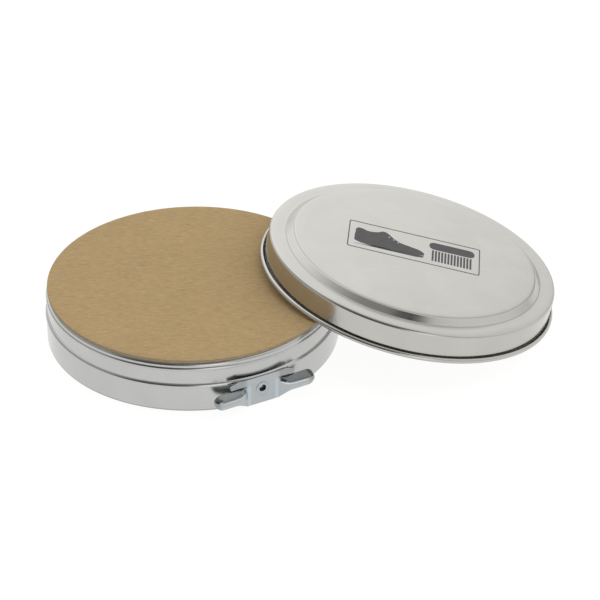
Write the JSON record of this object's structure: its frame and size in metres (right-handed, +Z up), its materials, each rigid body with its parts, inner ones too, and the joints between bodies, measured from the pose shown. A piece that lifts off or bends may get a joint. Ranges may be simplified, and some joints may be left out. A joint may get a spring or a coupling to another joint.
{
  "type": "shoe polish tin",
  "caption": "Shallow round tinplate shoe polish tin with a card disc on its rim, a riveted twist key on its wall and its pressed lid leaning open against it.",
  "frame": {"origin": "centre of the tin's flat underside, on the surface that it stands on", "axes": "+Z up along the tin's axis, +X towards the side where the lid leans, -Y towards the side of the twist key"},
  "size_m": [0.1523, 0.1045, 0.0284],
  "materials": {
    "tinplate_body": "bright satin tinplate with fine rolling lines",
    "tinplate_lid": "pale satin on the top, brighter on the skirt, with a dark printed emblem",
    "zinc_key": "bluish zinc plate, semi-bright",
    "zinc_rivet": "bluish zinc plate, semi-bright",
    "kraft_card": "matte brown board with fine fibres",
    "polish_wax": "soft waxy sheen"
  },
  "bodies": {
    "tin": {"tin_base": "tinplate_body", "polish": "polish_wax", "key_rivet": "zinc_rivet"},
    "key": {"twist_key": "zinc_key"},
    "card": {"card_disc": "kraft_card"},
    "lid_body": {"lid": "tinplate_lid"}
  },
  "joints": [
    {"name": "key_turn", "type": "hinge", "parent": "tin", "child": "key", "pos_m": [0.02118, -0.03868, 0.0051], "axis": [0.4802, -0.8771, 0], "range_deg": [-90, 90]},
    {"name": "card_lift", "type": "slide", "parent": "tin", "child": "card", "axis": [0, 0, 1], "range_m": [0, 0.03]},
    {"name": "lid_lift", "type": "slide", "parent": "card", "child": "lid_body", "axis": [0, 0, 1], "range_m": [0, 0.06]}
  ]
}
